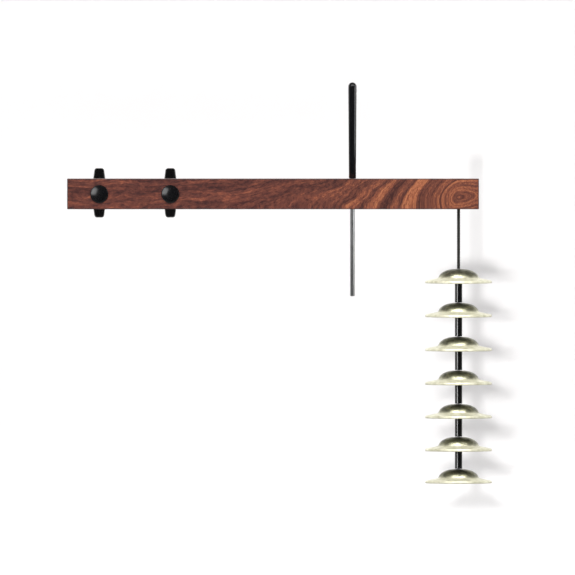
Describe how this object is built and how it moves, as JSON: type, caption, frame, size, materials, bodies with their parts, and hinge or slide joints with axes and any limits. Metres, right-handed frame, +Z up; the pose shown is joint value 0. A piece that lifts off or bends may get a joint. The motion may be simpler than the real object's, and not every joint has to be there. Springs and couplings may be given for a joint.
{
  "type": "finger cymbal tree",
  "caption": "Hardwood bar that clamps to a stand's rod, with small brass cymbals and spacer tubes strung on a hanging cord and a gripped steel striker stored in a hole.",
  "frame": {"origin": "on the bar's rear face, at mid-height, midway between the two clamp bolts", "axes": "+X along the bar towards the cymbals, +Y backwards from the bar through the clamp, +Z up"},
  "size_m": [0.3611, 0.0948, 0.3408],
  "materials": {
    "walnut": "oiled hardwood, open pores",
    "black_steel": "gloss black",
    "zinc_steel": "zinc plated",
    "black_plastic": "moulded, half gloss",
    "insert_brass": "machined",
    "bright_steel": "drawn and polished rod",
    "black_vinyl": "dipped vinyl, gloss",
    "black_cord": "braided",
    "aged_brass": "lathe turned, aged",
    "black_tube": "gloss, extruded"
  },
  "bodies": {
    "mantle": {"mantle_bar": "walnut", "carriage_bolt_left": "black_steel", "carriage_bolt_right": "black_steel", "cord_anchor": "black_cord"},
    "jaw": {"clamp_jaw": "walnut", "washer_left": "zinc_steel", "washer_right": "zinc_steel"},
    "left_nut": {"wing_nut_left": "black_plastic", "nut_insert_left": "insert_brass"},
    "right_nut": {"wing_nut_right": "black_plastic", "nut_insert_right": "insert_brass"},
    "striker": {"striker_rod": "bright_steel", "striker_grip": "black_vinyl"},
    "string_bend": {"cord_bend": "black_cord"},
    "string": {"cord_drop": "black_cord"},
    "stage_1": {"cord_stage_1": "black_cord"},
    "stage_2": {"cord_stage_2": "black_cord"},
    "stage_3": {"cord_stage_3": "black_cord"},
    "stage_4": {"cord_stage_4": "black_cord"},
    "stage_5": {"cord_stage_5": "black_cord"},
    "stage_6": {"cord_stage_6": "black_cord"},
    "stage_7": {"cord_end_knot": "black_cord"},
    "top_cymbal": {"cymbal_1": "aged_brass"},
    "second_cymbal": {"cymbal_2": "aged_brass"},
    "third_cymbal": {"cymbal_3": "aged_brass"},
    "fourth_cymbal": {"cymbal_4": "aged_brass"},
    "fifth_cymbal": {"cymbal_5": "aged_brass"},
    "sixth_cymbal": {"cymbal_6": "aged_brass"},
    "bottom_cymbal": {"cymbal_7": "aged_brass"},
    "first_tube": {"spacer_tube_1": "black_tube"},
    "second_tube": {"spacer_tube_2": "black_tube"},
    "third_tube": {"spacer_tube_3": "black_tube"},
    "fourth_tube": {"spacer_tube_4": "black_tube"},
    "fifth_tube": {"spacer_tube_5": "black_tube"},
    "sixth_tube": {"spacer_tube_6": "black_tube"}
  },
  "joints": [
    {"name": "jaw_slide", "type": "slide", "parent": "mantle", "child": "jaw", "axis": [0, 1, 0], "range_m": [-0.01, 0.012]},
    {"name": "wing_nut_left_turn", "type": "hinge", "parent": "jaw", "child": "left_nut", "pos_m": [-0.0302, 0.0284, 0], "axis": [0, 1, 0], "range_deg": [-2835, 3402]},
    {"name": "wing_nut_right_turn", "type": "hinge", "parent": "jaw", "child": "right_nut", "pos_m": [0.0302, 0.0284, 0], "axis": [0, 1, 0], "range_deg": [-2835, 3402]},
    {"name": "striker_lift", "type": "slide", "parent": "mantle", "child": "striker", "axis": [0, 0, 1], "range_m": [0, 0.105]},
    {"name": "string_swing_sideways", "type": "hinge", "parent": "mantle", "child": "string_bend", "pos_m": [0.2752, -0.0095, -0.01455], "axis": [0, -1, 0], "range_deg": [-30, 60]},
    {"name": "string_swing_forward", "type": "hinge", "parent": "string_bend", "child": "string", "pos_m": [0.2752, -0.0095, -0.01455], "axis": [-1, 0, 0], "range_deg": [-45, 45]},
    {"name": "stage_1_bend", "type": "hinge", "parent": "string", "child": "stage_1", "pos_m": [0.2752, -0.0095, -0.0639], "axis": [0, -1, 0], "range_deg": [-12, 12]},
    {"name": "stage_2_bend", "type": "hinge", "parent": "stage_1", "child": "stage_2", "pos_m": [0.2752, -0.0095, -0.0927], "axis": [-1, 0, 0], "range_deg": [-6, 6]},
    {"name": "stage_3_bend", "type": "hinge", "parent": "stage_2", "child": "stage_3", "pos_m": [0.2752, -0.0095, -0.1215], "axis": [0, -1, 0], "range_deg": [-6, 6]},
    {"name": "stage_4_bend", "type": "hinge", "parent": "stage_3", "child": "stage_4", "pos_m": [0.2752, -0.0095, -0.1502], "axis": [-1, 0, 0], "range_deg": [-6, 6]},
    {"name": "stage_5_bend", "type": "hinge", "parent": "stage_4", "child": "stage_5", "pos_m": [0.2752, -0.0095, -0.1787], "axis": [0, -1, 0], "range_deg": [-6, 6]},
    {"name": "stage_6_bend", "type": "hinge", "parent": "stage_5", "child": "stage_6", "pos_m": [0.2752, -0.0095, -0.2067], "axis": [-1, 0, 0], "range_deg": [-6, 6]},
    {"name": "stage_7_bend", "type": "hinge", "parent": "stage_6", "child": "stage_7", "pos_m": [0.2752, -0.0095, -0.234], "axis": [0, -1, 0], "range_deg": [-6, 6]},
    {"name": "cymbal_1_spin", "type": "hinge", "parent": "stage_1", "child": "top_cymbal", "pos_m": [0.2752, -0.0095, -0.0639], "axis": [0, 0, 1], "continuous": true},
    {"name": "cymbal_2_spin", "type": "hinge", "parent": "stage_2", "child": "second_cymbal", "pos_m": [0.2752, -0.0095, -0.0927], "axis": [0, 0, 1], "continuous": true},
    {"name": "cymbal_3_spin", "type": "hinge", "parent": "stage_3", "child": "third_cymbal", "pos_m": [0.2752, -0.0095, -0.1215], "axis": [0, 0, 1], "continuous": true},
    {"name": "cymbal_4_spin", "type": "hinge", "parent": "stage_4", "child": "fourth_cymbal", "pos_m": [0.2752, -0.0095, -0.1502], "axis": [0, 0, 1], "continuous": true},
    {"name": "cymbal_5_spin", "type": "hinge", "parent": "stage_5", "child": "fifth_cymbal", "pos_m": [0.2752, -0.0095, -0.1787], "axis": [0, 0, 1], "continuous": true},
    {"name": "cymbal_6_spin", "type": "hinge", "parent": "stage_6", "child": "sixth_cymbal", "pos_m": [0.2752, -0.0095, -0.2067], "axis": [0, 0, 1], "continuous": true},
    {"name": "cymbal_7_spin", "type": "hinge", "parent": "stage_7", "child": "bottom_cymbal", "pos_m": [0.2752, -0.0095, -0.234], "axis": [0, 0, 1], "continuous": true},
    {"name": "tube_1_spin", "type": "hinge", "parent": "stage_1", "child": "first_tube", "pos_m": [0.2752, -0.0095, -0.0662], "axis": [0, 0, 1], "continuous": true},
    {"name": "tube_2_spin", "type": "hinge", "parent": "stage_2", "child": "second_tube", "pos_m": [0.2752, -0.0095, -0.095], "axis": [0, 0, 1], "continuous": true},
    {"name": "tube_3_spin", "type": "hinge", "parent": "stage_3", "child": "third_tube", "pos_m": [0.2752, -0.0095, -0.1238], "axis": [0, 0, 1], "continuous": true},
    {"name": "tube_4_spin", "type": "hinge", "parent": "stage_4", "child": "fourth_tube", "pos_m": [0.2752, -0.0095, -0.1525], "axis": [0, 0, 1], "continuous": true},
    {"name": "tube_5_spin", "type": "hinge", "parent": "stage_5", "child": "fifth_tube", "pos_m": [0.2752, -0.0095, -0.181], "axis": [0, 0, 1], "continuous": true},
    {"name": "tube_6_spin", "type": "hinge", "parent": "stage_6", "child": "sixth_tube", "pos_m": [0.2752, -0.0095, -0.209], "axis": [0, 0, 1], "continuous": true}
  ],
  "couplings": [
    {"joint": "wing_nut_left_turn", "follows": "jaw_slide", "rad_per_m": 4947.4},
    {"joint": "wing_nut_right_turn", "follows": "jaw_slide", "rad_per_m": 4947.4}
  ]
}
